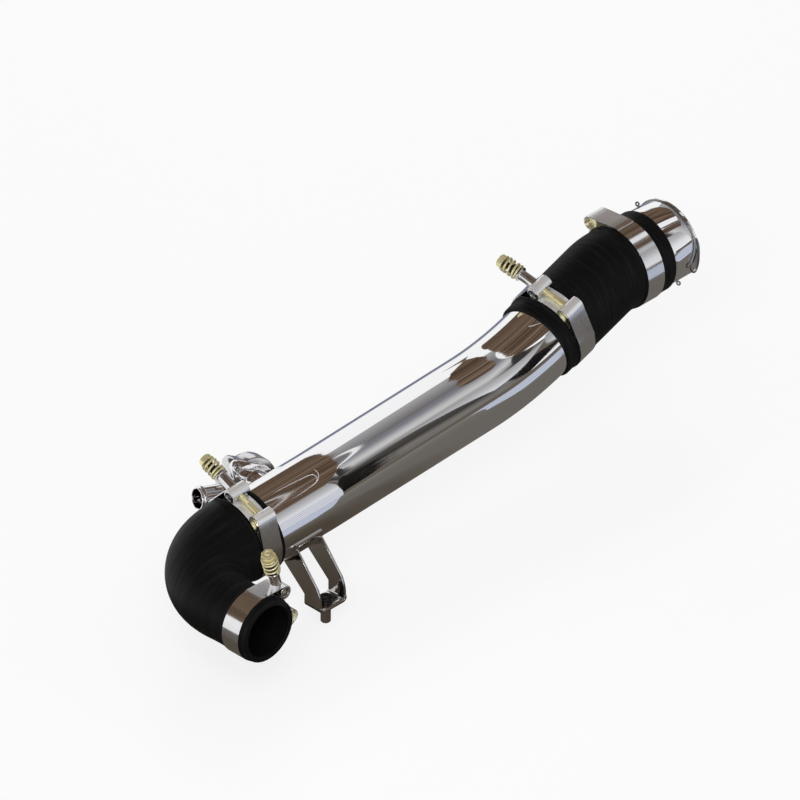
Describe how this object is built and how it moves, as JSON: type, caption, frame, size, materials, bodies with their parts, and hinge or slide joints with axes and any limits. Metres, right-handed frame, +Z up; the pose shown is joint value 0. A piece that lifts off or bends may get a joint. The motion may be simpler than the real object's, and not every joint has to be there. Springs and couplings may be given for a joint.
{
  "type": "intercooler pipe",
  "caption": "Polished intercooler pipe with a reducing elbow hose, a coupler hose, a quick-connect socket, a mounting stud and a side branch.",
  "frame": {"origin": "centre of the locating stud where it meets the underside of the bracket", "axes": "+Z up, away from the stud's tip; +Y along the pipe toward the quick-connect socket; +X the way the elbow's outlet points"},
  "size_m": [0.2136, 0.6809, 0.1908],
  "materials": {
    "polished_alloy": "mirror polished",
    "black_silicone": "satin, with fine wrap lines",
    "stainless_steel": "bright rolled",
    "yellow_zinc": "pale yellow zinc plating",
    "spring_wire": "drawn",
    "seal_rubber": "matte",
    "bright_steel": "polished"
  },
  "bodies": {
    "root": {"main_pipe": "polished_alloy", "elbow_hose": "black_silicone", "coupler_hose": "black_silicone", "lower_band": "stainless_steel", "lower_bridge": "stainless_steel", "lower_trunnion": "stainless_steel", "lower_t_bolt": "yellow_zinc", "lower_sleeve": "stainless_steel", "lower_spring": "yellow_zinc", "lower_nut": "yellow_zinc", "outlet_band": "stainless_steel", "outlet_bridge": "stainless_steel", "outlet_trunnion": "stainless_steel", "outlet_t_bolt": "yellow_zinc", "outlet_sleeve": "stainless_steel", "outlet_spring": "yellow_zinc", "outlet_nut": "yellow_zinc", "upper_band": "stainless_steel", "upper_bridge": "stainless_steel", "upper_trunnion": "stainless_steel", "upper_t_bolt": "yellow_zinc", "upper_sleeve": "stainless_steel", "upper_spring": "yellow_zinc", "upper_nut": "yellow_zinc", "connector_band": "stainless_steel", "connector_bridge": "stainless_steel", "connector_trunnion": "stainless_steel", "connector_t_bolt": "yellow_zinc", "connector_sleeve": "stainless_steel", "connector_spring": "yellow_zinc", "connector_nut": "yellow_zinc", "connector_collar": "polished_alloy", "connector_seal": "seal_rubber", "wire_clip": "spring_wire", "clip_eyes": "spring_wire", "saddle": "bright_steel", "bracket": "bright_steel", "locating_stud": "bright_steel", "branch_stub": "polished_alloy", "branch_o_ring": "seal_rubber", "branch_housing": "bright_steel", "branch_cover": "polished_alloy", "branch_spigot": "polished_alloy", "branch_screws": "bright_steel"}
  },
  "joints": []
}
